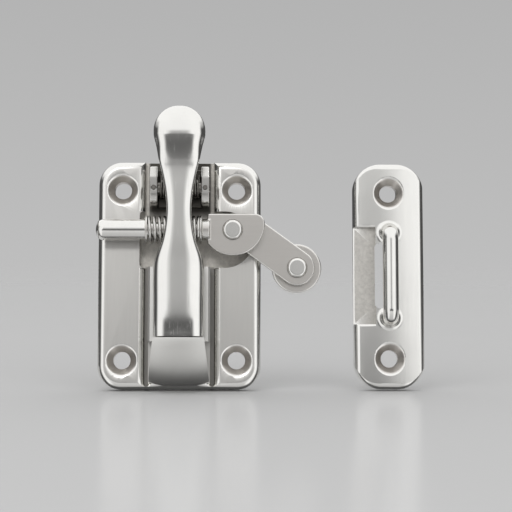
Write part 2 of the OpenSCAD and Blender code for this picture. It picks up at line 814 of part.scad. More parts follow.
// The notch is open to the keeper's left edge, measured from the keeper's middle
module notch_outline() {
    right = -keeper_w / 2 + notch_w;
    translate([-keeper_w, -notch_half]) square([keeper_w + right, 2 * notch_half]);
}

module slot_outline() {
    r = slot_w / 3;
    translate([-keeper_w / 2 + notch_w + slot_w / 2 - fix, 0]) round_rect(slot_w, 2 * slot_half, r);
}

module keeper_bail() {
    straight = leg_z - bail_bend;
    color(polished) translate([keeper_x, -bail_axis, 0]) union() {
        translate([0, 0, -straight]) cylinder(d = bail_d, h = 2 * straight);
        for (s = [0, 1]) mirror([0, 0, s]) {
            translate([0, bail_bend, straight]) rotate([90, 0, -90]) rotate_extrude(angle = 90)
                translate([bail_bend, 0]) circle(d = bail_d);
            translate([0, bail_bend, leg_z]) rotate([-90, 0, 0])
                cylinder(d = bail_d, h = bail_axis - bail_bend - notch_d - fix);
        }
    }
}

base_plate();
hinge_bracket();
bracket_rivets();
hinge_pin();
hinge_lock_pins();
return_springs();
keeper_plate();
keeper_bail();
lever();
draw_bar();
end_pin();
spring_washers();
left_spring();
right_spring();
arm_rivet();
arm_washer();
arm_tail_washer();
arm();
roller_axle();
roller_washers();
roller();
roller_bush();
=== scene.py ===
"""Boat window latch and keeper in stainless steel: eased edges, finishes, studio and camera."""
import json
import math

import bpy
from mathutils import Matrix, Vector


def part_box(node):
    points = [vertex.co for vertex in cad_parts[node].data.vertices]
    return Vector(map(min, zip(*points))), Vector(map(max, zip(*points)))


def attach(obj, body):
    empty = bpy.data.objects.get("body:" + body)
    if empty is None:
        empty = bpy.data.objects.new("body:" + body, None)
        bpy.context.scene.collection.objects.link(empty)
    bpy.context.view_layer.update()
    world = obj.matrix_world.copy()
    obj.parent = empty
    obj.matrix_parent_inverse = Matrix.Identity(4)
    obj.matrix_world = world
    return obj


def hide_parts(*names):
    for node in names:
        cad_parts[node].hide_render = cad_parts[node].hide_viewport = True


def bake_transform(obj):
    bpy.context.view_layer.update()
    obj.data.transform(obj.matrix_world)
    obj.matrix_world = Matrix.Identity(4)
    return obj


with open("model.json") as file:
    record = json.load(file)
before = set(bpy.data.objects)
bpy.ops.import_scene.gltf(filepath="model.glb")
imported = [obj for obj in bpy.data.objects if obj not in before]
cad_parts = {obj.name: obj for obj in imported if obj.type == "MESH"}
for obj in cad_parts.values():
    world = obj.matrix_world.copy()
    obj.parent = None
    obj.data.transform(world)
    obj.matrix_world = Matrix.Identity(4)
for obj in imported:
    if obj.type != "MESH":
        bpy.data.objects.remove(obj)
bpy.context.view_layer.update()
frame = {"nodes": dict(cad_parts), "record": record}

MM = 0.001
RECORD = frame["record"]
BODY_OF = {node: body for body, nodes in RECORD["behaviour"]["bodies"].items() for node in nodes}
MOUNTS = {mount["name"]: mount["dims"] for mount in RECORD["mounts"]}

# Photograph: scale at the panels' front, and where its middle falls on the latch
PHOTO_SIZE = 512
MM_PER_PIXEL = 0.32
AIM = Vector((24.44, -6.0, 6.03)) * MM
CAMERA_DISTANCE = 450 * MM
CAMERA_ELEVATION = -6.0
CAMERA_AZIMUTH = 1.5
SENSOR = 36.0

# Base: half spacings of its screws and radius of their countersinks, depths of its panels and pocket,
# heights of its slot, and its grooves
HOLE_X = MOUNTS["base_screws"]["spacing_x_mm"] / 2 * MM
HOLE_Z = MOUNTS["base_screws"]["spacing_y_mm"] / 2 * MM
SINK_RADIUS = 5.0 * MM
PANEL_FRONT = 6.0 * MM
POCKET_FLOOR = 2.2 * MM
SLOT_LOW = 17.0 * MM
SLOT_HIGH = 21.0 * MM
SLOT_TOP = 37.0 * MM
GROOVE_X = 10.4 * MM
GROOVE_TOP = 3.0 * MM

# Keeper: half spacing of its screws, its middle, its crowned front and its notch
KEEPER_HOLE_Z = MOUNTS["keeper_screws"]["spacing_y_mm"] / 2 * MM
KEEPER_MIDDLE = (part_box("keeper_bail")[0].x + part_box("keeper_bail")[1].x) / 2
KEEPER_FRONT = 5.0 * MM
KEEPER_CROWN = 80.0 * MM
NOTCH_FLOOR = 1.8 * MM
NOTCH_WIDTH = 7.0 * MM
NOTCH_HALF = 15.7 * MM


# Node helpers

def new_material(name, color, roughness, metallic=1.0):
    """A material with its node tree and its Principled shader."""
    material = bpy.data.materials.new(name)
    material.use_nodes = True
    tree = material.node_tree
    shader = tree.nodes["Principled BSDF"]
    shader.inputs["Base Color"].default_value = (*color, 1.0)
    shader.inputs["Roughness"].default_value = roughness
    shader.inputs["Metallic"].default_value = metallic
    return material, tree, shader


def add(tree, kind, **settings):
    """A node with its properties set."""
    made = tree.nodes.new(kind)
    for key, value in settings.items():
        setattr(made, key, value)
    return made


def give(tree, value, target):
    """Links a socket to an input, or sets a number there."""
    if isinstance(value, (int, float)):
        target.default_value = value
    else:
        tree.links.new(value, target)


def math_node(tree, operation, *values):
    """A Math node whose inputs are sockets or numbers."""
    made = add(tree, "ShaderNodeMath", operation=operation)
    for value, target in zip(values, made.inputs):
        give(tree, value, target)
    return made.outputs[0]


def product(tree, first, *factors):
    """Sockets and numbers multiplied together."""
    for factor in factors:
        first = math_node(tree, "MULTIPLY", first, factor)
    return first


def total(tree, first, *terms):
    """Sockets and numbers added up."""
    for term in terms:
        first = math_node(tree, "ADD", first, term)
    return first


def away_from(tree, value, middle):
    """How far a value lies from a middle, on either side."""
    return math_node(tree, "ABSOLUTE", math_node(tree, "SUBTRACT", value, middle))


def remap(tree, value, span, onto=(0.0, 1.0), kind="LINEAR"):
    """Takes one span of values onto another and holds it at the ends."""
    made = add(tree, "ShaderNodeMapRange", clamp=True, interpolation_type=kind)
    give(tree, value, made.inputs["Value"])
    for name, number in zip(("From Min", "From Max", "To Min", "To Max"), (*span, *onto)):
        made.inputs[name].default_value = number
    return made.outputs["Result"]


def mix_color(tree, factor, first, second):
    """A colour mix whose ends are colours or sockets."""
    made = add(tree, "ShaderNodeMix", data_type="RGBA")
    give(tree, factor, made.inputs["Factor"])
    for name, value in (("A", first), ("B", second)):
        socket = next(s for s in made.inputs if s.name == name and s.type == "RGBA")
        if isinstance(value, tuple):
            socket.default_value = (*value, 1.0)
        else:
            give(tree, value, socket)
    return next(s for s in made.outputs if s.type == "RGBA")


def mix_shader(tree, factor, first, second):
    """A mix of two shaders."""
    made = add(tree, "ShaderNodeMixShader")
    give(tree, factor, made.inputs["Fac"])
    give(tree, first, made.inputs[1])
    give(tree, second, made.inputs[2])
    return made.outputs["Shader"]


def axes_of(tree, coordinate):
    """The X, Y and Z of a texture coordinate."""
    place = add(tree, "ShaderNodeTexCoord")
    parts = add(tree, "ShaderNodeSeparateXYZ")
    give(tree, place.outputs[coordinate], parts.inputs["Vector"])
    return [parts.outputs[axis] for axis in "XYZ"]


def mapped(tree, vector, scale, rotation=(0, 0, 0)):
    """A vector scaled and turned."""
    mapping = add(tree, "ShaderNodeMapping")
    mapping.inputs["Scale"].default_value = scale
    mapping.inputs["Rotation"].default_value = rotation
    give(tree, vector, mapping.inputs["Vector"])
    return mapping.outputs["Vector"]


def object_vector(tree, scale=(1, 1, 1)):
    """Object coordinates, scaled."""
    return mapped(tree, add(tree, "ShaderNodeTexCoord").outputs["Object"], scale)


def noise(tree, vector, scale, detail, roughness):
    """A noise pattern as a value."""
    made = add(tree, "ShaderNodeTexNoise")
    made.inputs["Scale"].default_value = scale
    made.inputs["Detail"].default_value = detail
    made.inputs["Roughness"].default_value = roughness
    give(tree, vector, made.inputs["Vector"])
    return made.outputs["Fac"]


def bump(tree, shader, height, strength, distance):
    """Bumps a shader's surface by a height."""
    made = add(tree, "ShaderNodeBump")
    made.inputs["Strength"].default_value = strength
    made.inputs["Distance"].default_value = distance
    give(tree, height, made.inputs["Height"])
    give(tree, made.outputs["Normal"], shader.inputs["Normal"])


# Effects that several finishes share

# Smudges and scratches show where their noise passes these spans, and scratches run along these turns
SMUDGE_SPAN = (0.42, 0.72)
SCRATCH_SPAN = (0.73, 0.79)
SCRATCH_TURNS = [(0.2, 0.5, 0.4), (0.2, 2.1, 0.4)]
SCRATCH_STRETCH = (2600.0, 2600.0, 130.0)
# Share of the coarse grain in a cast surface
COARSE_SHARE = 0.6


def make_group(name, outputs):
    """A node group that takes a vector and gives values, with the vector and the output node."""
    group = bpy.data.node_groups.new(name, "ShaderNodeTree")
    group.interface.new_socket("Vector", in_out="INPUT", socket_type="NodeSocketVector")
    for label in outputs:
        group.interface.new_socket(label, in_out="OUTPUT", socket_type="NodeSocketFloat")
    return group, add(group, "NodeGroupInput").outputs["Vector"], add(group, "NodeGroupOutput")


def make_brushing():
    """Fine parallel lines along one axis, set by the stretch of the vector that comes in."""
    group, vector, out = make_group("brushing", ["Lines", "Streaks"])
    fine = noise(group, vector, scale=1.0, detail=4.0, roughness=0.65)
    broad = noise(group, vector, scale=0.22, detail=2.0, roughness=0.5)
    give(group, fine, out.inputs["Lines"])
    give(group, broad, out.inputs["Streaks"])
    return group


def make_handling():
    """Smudges from hands and a few fine scratches, both as masks."""
    group, vector, out = make_group("handling", ["Smudge", "Scratch"])
    cloud = noise(group, vector, scale=95.0, detail=3.0, roughness=0.6)
    scratches = []
    for turn in SCRATCH_TURNS:
        along = mapped(group, vector, SCRATCH_STRETCH, turn)
        line = noise(group, along, scale=1.0, detail=0.0, roughness=0.5)
        scratches.append(remap(group, line, SCRATCH_SPAN))
    give(group, remap(group, cloud, SMUDGE_SPAN), out.inputs["Smudge"])
    give(group, math_node(group, "MAXIMUM", *scratches), out.inputs["Scratch"])
    return group


def make_casting():
    """The grain of a cast surface, coarse and fine together."""
    group, vector, out = make_group("casting", ["Grain"])
    coarse = noise(group, vector, scale=900.0, detail=2.0, roughness=0.5)
    fine = noise(group, vector, scale=3200.0, detail=3.0, roughness=0.6)
    both = total(group, product(group, coarse, COARSE_SHARE), product(group, fine, 1 - COARSE_SHARE))
    give(group, both, out.inputs["Grain"])
    return group


BRUSHING = make_brushing()
HANDLING = make_handling()
CASTING = make_casting()


def place_group(tree, group, vector):
    """The outputs of a group placed in a material."""
    made = add(tree, "ShaderNodeGroup", node_tree=group)
    give(tree, vector, made.inputs["Vector"])
    return made.outputs


# Finishes

STEEL = (0.42, 0.412, 0.397)
STRIP = (0.545, 0.525, 0.50)
BRIGHT = (0.73, 0.723, 0.70)
CAST = (0.62, 0.60, 0.565)
TURNED = (0.53, 0.505, 0.475)
WIRE = (0.60, 0.59, 0.57)
# Near-black painted shade for the slot about the hinge, the grooves and what reaches into them
PAINTED_SHADE = (0.10, 0.095, 0.085)
# Dark steel for the hinge's pins, rivets and return springs: painted shade for where they sit in the slot
HINGE_SHADE = (0.20, 0.19, 0.175)
ACETAL = (0.72, 0.70, 0.64)
ACETAL_DARK = (0.68, 0.66, 0.60)
ACETAL_LIGHT = (0.75, 0.73, 0.67)

# Roughness of each finish, and what marks add to it
POLISHED_ROUGH = 0.13
WIRE_ROUGH = 0.24
HINGE_SHADE_ROUGH = 0.32
STRIP_ROUGH = 0.34
STRIP_EDGE_ROUGH = 0.18
BASE_ROUGH = 0.46
KEEPER_ROUGH = 0.2
PLATE_EDGE_ROUGH = 0.15
ACETAL_ROUGH = 0.45
ACETAL_ROUGHS = (0.40, 0.52)
SMUDGE_ROUGHS = (-0.02, 0.04)
SATIN_SMUDGE_ROUGH = 0.03
SCRATCH_ROUGH = 0.08
STRIP_LINE_ROUGH = 0.03
PLATE_LINE_ROUGH = 0.02
FLOOR_ROUGH = 0.25
SINK_ROUGH = 0.15

# Tones as shares of a finish's colour
SMUDGE_TONE = 0.96
STREAK_DARK = 0.97
STRIP_STREAK = 1.03
PLATE_STREAK = 1.04
SADDLE_TONE = 0.82
POCKET_TONE = 1.1
SPECK_DARK = 0.86
SPECK_LIGHT = 1.08

# Spans of the patterns' values that count, and the brushing's stretch, long along one axis
LINE_SPAN = (0.3, 0.7)
SPECK_SPAN = (0.35, 0.65)
STRIP_STRETCH = (420, 7000, 7000)
BRACKET_STRETCH = (600, 7000, 7000)
PLATE_STRETCH = (7000, 7000, 420)

# How far a surface faces the front where its polished edge ends and its flat begins
STRIP_FACING = (0.80, 0.995)
PLATE_FACING = (0.96, 0.999)

# Where the plates' finishes change: off the back, on the saddle, below a countersink's rim and inside it,
# and near a floor, as a share of its distance from the front
BACK_SPAN = (0.1 * MM, 0.3 * MM)
SADDLE_SPAN = (PANEL_FRONT + 0.2 * MM, PANEL_FRONT + 0.8 * MM)
SINK_FROM = 0.25 * MM
SINK_FULL = 0.4 * MM
SINK_INNER = 0.985 * SINK_RADIUS
FLOOR_FROM = 0.24
FLOOR_FULL = 0.1

# Bumps: their strength and depth, and how much the brushing and the floors' grain count on the plates
STRIP_BUMP = 0.05
STRIP_BUMP_DEPTH = 0.02 * MM
PLATE_BUMP = 0.12
PLATE_BUMP_DEPTH = 0.04 * MM
PLATE_LINE_HEIGHT = 0.04
FLOOR_GRAIN_HEIGHT = 6.0

# Where the painted shade in the slot and the grooves begins and is full, by depth and across the latch
SHADE_FADE = 1.0 * MM
BASE_SHADE_DEPTH = (4.6 * MM, 3.4 * MM)
LEVER_SHADE_DEPTH = (13.6 * MM, 12.4 * MM)
BRACKET_SHADE_DEPTH = (11.2 * MM, 8.8 * MM)
SLOT_SHADE_X = (10.2 * MM, 9.6 * MM)
EARS_SHADE_X = (7.6 * MM, 7.2 * MM)
GROOVE_SHADE_X = (0.75 * MM, 0.5 * MM)
GROOVE_SHADE_DEPTH = (4.4 * MM, 3.6 * MM)
GROOVE_SHADE = 0.75

# Buffing on the lever: heights between which the ball's front leans, and by how much
BALL_SPAN = (35.0 * MM, 45.0 * MM)
BALL_LEAN = 0.32 * MM
CREST_SPAN = (43.0 * MM, 47.0 * MM)
CREST_FALL = 0.24 * MM


def shaded(color, factor):
    """A colour made darker or lighter."""
    return tuple(c * factor for c in color)


def polished_steel(name="polished_steel", color=BRIGHT, roughness=POLISHED_ROUGH):
    """Buffed steel with faint smudges and hair scratches."""
    material, tree, shader = new_material(name, color, roughness)
    marks = place_group(tree, HANDLING, object_vector(tree))
    tone = mix_color(tree, marks["Smudge"], color, shaded(color, SMUDGE_TONE))
    give(tree, tone, shader.inputs["Base Color"])
    dull = remap(tree, marks["Smudge"], (0.0, 1.0), [roughness + change for change in SMUDGE_ROUGHS])
    give(tree, total(tree, dull, product(tree, marks["Scratch"], SCRATCH_ROUGH)), shader.inputs["Roughness"])
    return material


def brushed(tree, color, streak, stretch, flat, roughs, line_rough):
    """Brushing on the flats between polished edges: its lines, its colour and its roughness."""
    grain = place_group(tree, BRUSHING, object_vector(tree, stretch))
    marks = place_group(tree, HANDLING, object_vector(tree))
    tone = mix_color(tree, grain["Streaks"], shaded(color, STREAK_DARK), shaded(color, streak))
    rough = total(tree, remap(tree, flat, (0.0, 1.0), roughs),
                  remap(tree, grain["Lines"], LINE_SPAN, (-line_rough, line_rough)),
                  product(tree, marks["Smudge"], SATIN_SMUDGE_ROUGH))
    return grain["Lines"], tone, rough


def satin_steel(name, color, stretch):
    """Brushed steel whose lines run along one axis, bright where its edges turn away."""
    material, tree, shader = new_material(name, color, STRIP_ROUGH)
    flat = facing_front(tree, STRIP_FACING)
    lines, tone, rough = brushed(tree, color, STRIP_STREAK, stretch, flat,
                                 (STRIP_EDGE_ROUGH, STRIP_ROUGH), STRIP_LINE_ROUGH)
    give(tree, mix_color(tree, flat, BRIGHT, tone), shader.inputs["Base Color"])
    give(tree, rough, shader.inputs["Roughness"])
    bump(tree, shader, lines, STRIP_BUMP, STRIP_BUMP_DEPTH)
    return material


def depth_and_place(tree):
    """Depth in front of the mounting face, and the place across and up, in the object's own coordinates."""
    x, y, z = axes_of(tree, "Object")
    return product(tree, y, -1.0), x, z


def facing_front(tree, span):
    """One where the surface faces straight out of the plate, zero where it turns away."""
    toward_back = axes_of(tree, "Normal")[1]
    return remap(tree, product(tree, toward_back, -1.0), span)


def hole_mask(tree, x, z, middle_x, half_x, half_z):
    """One inside the countersinks, which stand evenly about a middle."""
    dx = math_node(tree, "SUBTRACT", away_from(tree, x, middle_x), half_x)
    dz = math_node(tree, "SUBTRACT", math_node(tree, "ABSOLUTE", z), half_z)
    square = total(tree, product(tree, dx, dx), product(tree, dz, dz))
    return remap(tree, math_node(tree, "SQRT", square), (SINK_RADIUS, SINK_INNER))


def off_the_back(tree, depth):
    """Zero on the mounting face."""
    return remap(tree, depth, BACK_SPAN)


def slot_shade(tree, depth, z, span):
    """One deep in the slot about the hinge, where painted shade darkens the steel."""
    return product(tree, remap(tree, depth, span), off_the_back(tree, depth),
                   remap(tree, z, (SLOT_LOW, SLOT_HIGH)),
                   remap(tree, z, (SLOT_TOP + SHADE_FADE, SLOT_TOP)))


def paint_shade(tree, shader, mask):
    """Paints shade into a finished colour by a mask."""
    clean = shader.inputs["Base Color"].links[0].from_socket
    give(tree, mix_color(tree, mask, clean, PAINTED_SHADE), shader.inputs["Base Color"])


def shade_base(tree, shader, depth, x, z):
    """Painted shade in the base's slot and its two grooves."""
    across = math_node(tree, "ABSOLUTE", x)
    in_slot = remap(tree, across, SLOT_SHADE_X)
    paint_shade(tree, shader, product(tree, in_slot, slot_shade(tree, depth, z, BASE_SHADE_DEPTH)))
    in_groove = remap(tree, away_from(tree, across, GROOVE_X), GROOVE_SHADE_X, (0.0, GROOVE_SHADE))
    below = remap(tree, z, (GROOVE_TOP, GROOVE_TOP - SHADE_FADE))
    sunk = remap(tree, depth, GROOVE_SHADE_DEPTH)
    paint_shade(tree, shader, product(tree, in_groove, sunk, off_the_back(tree, depth), below))


def plate_steel(name, face, cast_tone, front, recess, sinks, roughness, is_base=False):
    """A cast plate: satin front, polished edges, rough recess floors and turned countersinks."""
    material, tree, shader = new_material(name, face, roughness)
    depth, x, z = depth_and_place(tree)
    flat = facing_front(tree, PLATE_FACING)
    if is_base:
        raised = remap(tree, depth, SADDLE_SPAN)
        flat = math_node(tree, "MAXIMUM", flat, raised)
    deep = remap(tree, depth, [recess + share * (front - recess) for share in (FLOOR_FROM, FLOOR_FULL)])
    floors = product(tree, deep, flat)
    below_front = remap(tree, depth, (front - SINK_FROM, front - SINK_FULL))
    holes = product(tree, hole_mask(tree, x, z, *sinks), below_front, off_the_back(tree, depth))

    lines, satin, rough = brushed(tree, face, PLATE_STREAK, PLATE_STRETCH, flat,
                                  (PLATE_EDGE_ROUGH, roughness), PLATE_LINE_ROUGH)
    if is_base:
        satin = mix_color(tree, raised, satin, shaded(BRIGHT, SADDLE_TONE))
    faced = mix_color(tree, flat, BRIGHT, satin)
    grain = place_group(tree, CASTING, object_vector(tree))["Grain"]
    specks = remap(tree, grain, SPECK_SPAN)
    cast = mix_color(tree, specks, shaded(cast_tone, SPECK_DARK), shaded(cast_tone, SPECK_LIGHT))
    bare = mix_color(tree, floors, faced, cast)
    give(tree, mix_color(tree, holes, bare, TURNED), shader.inputs["Base Color"])

    rough = total(tree, rough, product(tree, floors, FLOOR_ROUGH), product(tree, holes, SINK_ROUGH))
    give(tree, rough, shader.inputs["Roughness"])
    brushing = product(tree, lines, PLATE_LINE_HEIGHT)
    pitting = product(tree, grain, floors, FLOOR_GRAIN_HEIGHT)
    bump(tree, shader, total(tree, brushing, pitting), PLATE_BUMP, PLATE_BUMP_DEPTH)
    # The base gets painted shade in its slot and its grooves
    if is_base:
        shade_base(tree, shader, depth, x, z)
    return material


def base_steel():
    """The base's satin panels, polished edges and bright saddle, with painted shade in its recesses."""
    return plate_steel("base_steel", STEEL, shaded(CAST, POCKET_TONE), PANEL_FRONT, POCKET_FLOOR,
                       (0.0, HOLE_X, HOLE_Z), BASE_ROUGH, is_base=True)


def keeper_steel():
    """The keeper's polished front and the rough floor of its notch."""
    return plate_steel("keeper_steel", BRIGHT, CAST, KEEPER_FRONT, NOTCH_FLOOR,
                       (KEEPER_MIDDLE, 0.0, KEEPER_HOLE_Z), KEEPER_ROUGH)


def paint_shade_behind(material, span):
    """Paints shade on what reaches back into the slot between the ears."""
    tree = material.node_tree
    depth, x, z = depth_and_place(tree)
    between = remap(tree, math_node(tree, "ABSOLUTE", x), EARS_SHADE_X)
    paint_shade(tree, tree.nodes["Principled BSDF"], product(tree, between, slot_shade(tree, depth, z, span)))
    return material


def bracket_steel():
    """Brushed steel, with painted shade where it stands in the slot."""
    return paint_shade_behind(satin_steel("bracket_steel", STEEL, BRACKET_STRETCH), BRACKET_SHADE_DEPTH)


def lever_steel():
    """Polished steel with the shallow form that buffing leaves: the ball's front hangs a little forward."""
    # Painted shade darkens the lever where it reaches back into the slot between the ears
    material = paint_shade_behind(polished_steel("lever_steel"), LEVER_SHADE_DEPTH)
    tree = material.node_tree
    z = axes_of(tree, "Object")[2]
    lean = remap(tree, z, BALL_SPAN, (0.0, BALL_LEAN), "SMOOTHSTEP")
    crest = remap(tree, z, CREST_SPAN, (0.0, CREST_FALL), "SMOOTHSTEP")
    bump(tree, tree.nodes["Principled BSDF"], math_node(tree, "SUBTRACT", lean, crest),
         strength=1.0, distance=1.0)
    return material


def acetal():
    """Off-white bearing plastic."""
    material, tree, shader = new_material("acetal", ACETAL, ACETAL_ROUGH, metallic=0.0)
    grain = place_group(tree, CASTING, object_vector(tree))["Grain"]
    give(tree, remap(tree, grain, LINE_SPAN, ACETAL_ROUGHS), shader.inputs["Roughness"])
    give(tree, mix_color(tree, grain, ACETAL_DARK, ACETAL_LIGHT), shader.inputs["Base Color"])
    return material


# Pieces

# Widths of the eased edges, and how many steps round them
BRACKET_EDGE = 0.35 * MM
STRIP_EDGE = 0.48 * MM
ROLLER_EDGE = 0.3 * MM
PIN_EDGE = 0.25 * MM
RIVET_EDGE = 0.4 * MM
WASHER_EDGE = 0.08 * MM
SMALL_EDGE = 0.06 * MM
FINE_STEPS = 4
EDGE_STEPS = 3
SMALL_STEPS = 2
# Run-out of the end pin's dome into its side, on edges within a reach of its left end
DOME_ROUND = 1.3 * MM
DOME_STEPS = 6
DOME_REACH = 3.0 * MM

# Points that are merged, edges too short to ease, and angles that count as flat, as sharp and as smooth
MERGE = 0.002 * MM
TINY_EDGE = 0.06 * MM
FLAT_ANGLE = math.radians(0.4)
SHARP_ANGLE = math.radians(28)
SMOOTH_ANGLE = math.radians(40)
LEVER_SMOOTH_ANGLE = math.radians(32)
COIL_SMOOTH_ANGLE = math.radians(60)
# Sides of the round cutters and of the table
ROUND_SIDES = 96

# Chamfer on the countersinks' rims: its width on each plate, radial run to depth, and the cutter's reach
# into the front and out of it
BASE_RIM = 0.32 * MM
KEEPER_RIM = 0.5 * MM
RIM_SLOPE = 2.4
RIM_IN = 0.4 * MM
RIM_OUT = 0.3 * MM
# Chamfers on the keeper's notch: their depth and tilt, how far they stop short, and the cutter's size
LIP_CUT = 0.3 * MM
LIP_TILT = math.radians(33)
LIP_STOP = 0.15 * MM
LIP_BLOCK = 3.0 * MM
# Faces of the keeper's crown: how far off its curve, and how far they face the front
CROWN_OFF = 0.08 * MM
CROWN_FACING = 0.98


def deselect():
    """Leaves nothing selected."""
    bpy.ops.object.select_all(action="DESELECT")


def select_only(piece):
    """Makes a piece the one that operators act on."""
    deselect()
    piece.select_set(True)
    bpy.context.view_layer.objects.active = piece


def fresh_copy(node):
    """A copy of a node's mesh, merged into one surface."""
    piece = bpy.data.objects.new(node + "_finished", frame["nodes"][node].data.copy())
    bpy.context.scene.collection.objects.link(piece)
    piece.data.materials.clear()
    select_only(piece)
    bpy.ops.mesh.customdata_custom_splitnormals_clear()
    bpy.ops.object.mode_set(mode="EDIT")
    bpy.ops.mesh.select_all(action="SELECT")
    bpy.ops.mesh.remove_doubles(threshold=MERGE)
    bpy.ops.object.mode_set(mode="OBJECT")
    return piece


def ease_edges(piece, width, steps):
    """Makes the flat faces whole and rounds the sharp edges between them."""
    select_only(piece)
    bpy.ops.object.mode_set(mode="EDIT")
    bpy.ops.mesh.select_all(action="SELECT")
    bpy.ops.mesh.dissolve_limited(angle_limit=FLAT_ANGLE)
    bpy.ops.mesh.remove_doubles(threshold=TINY_EDGE)
    bpy.ops.object.mode_set(mode="OBJECT")
    eased = piece.modifiers.new("eased_edges", "BEVEL")
    eased.width = width
    eased.segments = steps
    eased.limit_method = "ANGLE"
    eased.angle_limit = SHARP_ANGLE
    eased.use_clamp_overlap = False
    bpy.ops.object.modifier_apply(modifier=eased.name)


def cut_away(piece, cutter):
    """Takes the shape of a new, selected cutter out of a piece and deletes the cutter."""
    bpy.ops.object.transform_apply(location=True, rotation=True, scale=True)
    select_only(piece)
    cut = piece.modifiers.new("cut_away", "BOOLEAN")
    cut.operation = "DIFFERENCE"
    cut.solver = "EXACT"
    cut.object = cutter
    bpy.ops.object.modifier_apply(modifier=cut.name)
    select_only(cutter)
    bpy.ops.object.delete()


def ease_sinks(piece, centres, front, reach):
    """Turns a narrow chamfer on the rims of the countersinks."""
    for x, z in centres:
        deselect()
        bpy.ops.mesh.primitive_cone_add(
            vertices=ROUND_SIDES, depth=RIM_IN + RIM_OUT,
            radius1=reach - RIM_SLOPE * RIM_IN, radius2=reach + RIM_SLOPE * RIM_OUT,
            location=(x, -front + (RIM_IN - RIM_OUT) / 2, z), rotation=(math.radians(90), 0, 0))
        cut_away(piece, bpy.context.object)


def cut_block(piece, location, rotation, scale):
    """Takes a turned block out of a piece."""
    deselect()
    bpy.ops.mesh.primitive_cube_add(size=1, location=location, rotation=rotation, scale=scale)
    cut_away(piece, bpy.context.object)


def crown_depth(x):
    """Depth of the keeper's crowned front at a place across it."""
    return KEEPER_FRONT - KEEPER_CROWN + math.sqrt(KEEPER_CROWN ** 2 - (x - KEEPER_MIDDLE) ** 2)


def ease_lips(piece):
    """Breaks the front edges of the keeper's notch and the left edge of its floor."""
    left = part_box("keeper_plate")[0].x
    stop = left + NOTCH_WIDTH - LIP_STOP
    start = left - LIP_BLOCK
    fall = math.atan2(crown_depth(stop) - crown_depth(left), stop - left)
    middle = (start + stop) / 2
    edge = Vector((middle, -crown_depth(left) - math.tan(fall) * (middle - left), 0))
    out = (LIP_BLOCK / 2 - LIP_CUT) * math.cos(LIP_TILT)
    aside = (LIP_BLOCK / 2 - LIP_CUT) * math.sin(LIP_TILT)
    for side in (-1, 1):
        cut_block(piece, edge + Vector((0, -out, side * (NOTCH_HALF - aside))),
                  (side * LIP_TILT, 0, -fall), (stop - start, LIP_BLOCK, LIP_BLOCK))
    cut_block(piece, (left - aside, -NOTCH_FLOOR - out, 0),
              (0, 0, -LIP_TILT), (LIP_BLOCK, LIP_BLOCK, 2 * (NOTCH_HALF - LIP_STOP)))


def round_left_end(piece, limit, width, steps):
    """Rounds the sharp rim of an end that lies to the left of a limit."""
    select_only(piece)
    bpy.context.tool_settings.mesh_select_mode = (False, True, False)
    bpy.ops.object.mode_set(mode="EDIT")
    bpy.ops.mesh.select_all(action="DESELECT")
    bpy.ops.mesh.edges_select_sharp(sharpness=SHARP_ANGLE)
    bpy.ops.object.mode_set(mode="OBJECT")
    mesh = piece.data
    rim = [edge.index for edge in mesh.edges
           if edge.select and all(mesh.vertices[v].co.x < limit for v in edge.vertices)]
    bpy.ops.object.mode_set(mode="EDIT")
    bpy.ops.mesh.select_all(action="DESELECT")
    bpy.ops.object.mode_set(mode="OBJECT")
    for index in rim:
        mesh.edges[index].select = True
    bpy.ops.object.mode_set(mode="EDIT")
    bpy.ops.mesh.bevel(offset=width, segments=steps, affect="EDGES", clamp_overlap=False)
    bpy.ops.object.mode_set(mode="OBJECT")


def smooth(piece, angle=SMOOTH_ANGLE, weighted=True):
    """Shades a piece smooth up to an angle, with its large faces kept flat if weighted."""
    select_only(piece)
    bpy.ops.object.shade_smooth_by_angle(angle=angle)
    if weighted:
        weights = piece.modifiers.new("flat_faces", "WEIGHTED_NORMAL")
        weights.keep_sharp = True
        bpy.ops.object.modifier_apply(modifier=weights.name)


def crown_normals(piece):
    """Gives the keeper's crowned front the normals of its true curve, so that no facet shows."""
    mesh = piece.data
    centre = Vector((KEEPER_MIDDLE, KEEPER_CROWN - KEEPER_FRONT, 0))
    normals = [corner.vector.copy() for corner in mesh.corner_normals]
    for face in mesh.polygons:
        arms = [mesh.vertices[v].co - centre for v in face.vertices]
        on_crown = all(abs(math.hypot(arm.x, arm.y) - KEEPER_CROWN) < CROWN_OFF for arm in arms)
        if face.normal.y > -CROWN_FACING or not on_crown:
            continue
        for corner, arm in zip(face.loop_indices, arms):
            normals[corner] = Vector((arm.x, arm.y, 0)).normalized()
    mesh.normals_split_custom_set(normals)


def put(piece, node, material):
    """Gives a piece its material and the node's place on its body."""
    piece.data.materials.append(material)
    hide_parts(node)
    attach(piece, BODY_OF[node])


def finished(node, material, width, steps):
    """A node with eased edges and its finish."""
    piece = fresh_copy(node)
    ease_edges(piece, width, steps)
    smooth(piece)
    put(piece, node, material)


def make_base_plate():
    """The base, with eased countersinks."""
    piece = fresh_copy("base_plate")
    centres = [(x * HOLE_X, z * HOLE_Z) for x in (-1, 1) for z in (-1, 1)]
    ease_sinks(piece, centres, PANEL_FRONT, SINK_RADIUS + BASE_RIM)
    smooth(piece)
    put(piece, "base_plate", base_steel())


def make_keeper_plate():
    """The keeper, with eased countersinks, an eased notch and a true crown."""
    piece = fresh_copy("keeper_plate")
    centres = [(KEEPER_MIDDLE, z * KEEPER_HOLE_Z) for z in (-1, 1)]
    ease_sinks(piece, centres, KEEPER_FRONT, SINK_RADIUS + KEEPER_RIM)
    ease_lips(piece)
    smooth(piece)
    put(piece, "keeper_plate", keeper_steel())
    crown_normals(piece)


